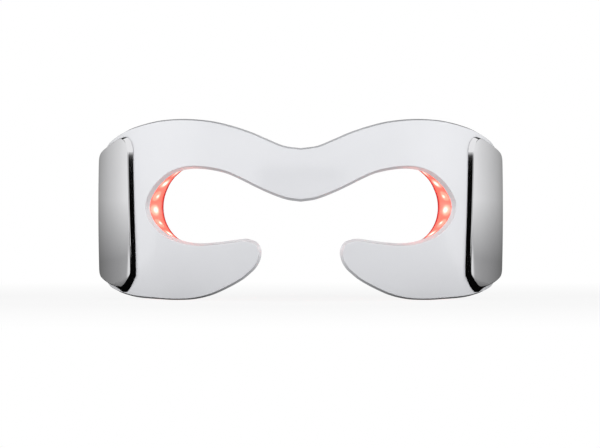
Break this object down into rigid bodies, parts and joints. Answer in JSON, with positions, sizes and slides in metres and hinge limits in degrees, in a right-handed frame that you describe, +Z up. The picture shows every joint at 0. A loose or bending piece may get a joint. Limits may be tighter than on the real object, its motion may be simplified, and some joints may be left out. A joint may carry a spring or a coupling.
{
  "type": "led eye mask",
  "caption": "Rigid light mask for the skin round the eyes: a curved M-shaped white band with open eye cut-outs, metal temple covers, strap loops and a power button.",
  "frame": {"origin": "middle of the bottom of the mask's box, standing on its lower edge as it is worn", "axes": "+X towards the wearer's left, -Y is where the front faces, +Z up"},
  "size_m": [0.1744, 0.0884, 0.0745],
  "materials": {
    "shell_white": "high gloss white moulding",
    "window_clear": "clear moulding lit red from inside",
    "housing_white": "satin white moulding",
    "cover_metal": "bright plated metal",
    "screw_steel": "machined",
    "board_white": "white solder mask",
    "light_red": "red light",
    "light_amber": "amber light",
    "light_infrared": "infrared light",
    "nylon_white": "moulded nylon",
    "lead_film": "polyimide film",
    "pouch_foil": "pouch foil",
    "foam_grey": "closed foam",
    "board_green": "green solder mask",
    "chip_black": "moulded epoxy",
    "part_tan": "ceramic parts",
    "socket_steel": "drawn shell",
    "switch_black": "moulded",
    "plunger_grey": "moulded",
    "button_white": "gloss white",
    "light_pipe": "clear pipe",
    "pad_silicone": "soft-touch silicone"
  },
  "bodies": {
    "mask": {"front_shell": "shell_white", "light_window": "window_clear", "temple_back_left": "housing_white", "temple_back_right": "housing_white", "temple_cover_left": "cover_metal", "temple_cover_right": "cover_metal", "housing_screws": "screw_steel", "led_board_left": "board_white", "led_board_right": "board_white", "red_lights": "light_red", "amber_lights": "light_amber", "infrared_lights": "light_infrared", "board_spacers": "nylon_white", "brow_lead": "lead_film", "control_lead": "lead_film", "battery_lead": "lead_film", "battery": "pouch_foil", "battery_foam": "foam_grey", "battery_guard": "board_green", "control_board": "board_green", "board_chips": "chip_black", "board_parts": "part_tan", "charge_socket": "socket_steel", "socket_tongue": "chip_black", "button_switch": "switch_black", "charge_light": "light_pipe", "brow_pad": "pad_silicone", "cheek_pad_left": "pad_silicone", "cheek_pad_right": "pad_silicone"},
    "button": {"power_button": "button_white", "switch_plunger": "plunger_grey"}
  },
  "joints": [
    {"name": "power_button_press", "type": "slide", "parent": "mask", "child": "button", "axis": [0, 0, -1], "range_m": [0, 0.0006], "stiffness_N_per_m": 1500}
  ]
}
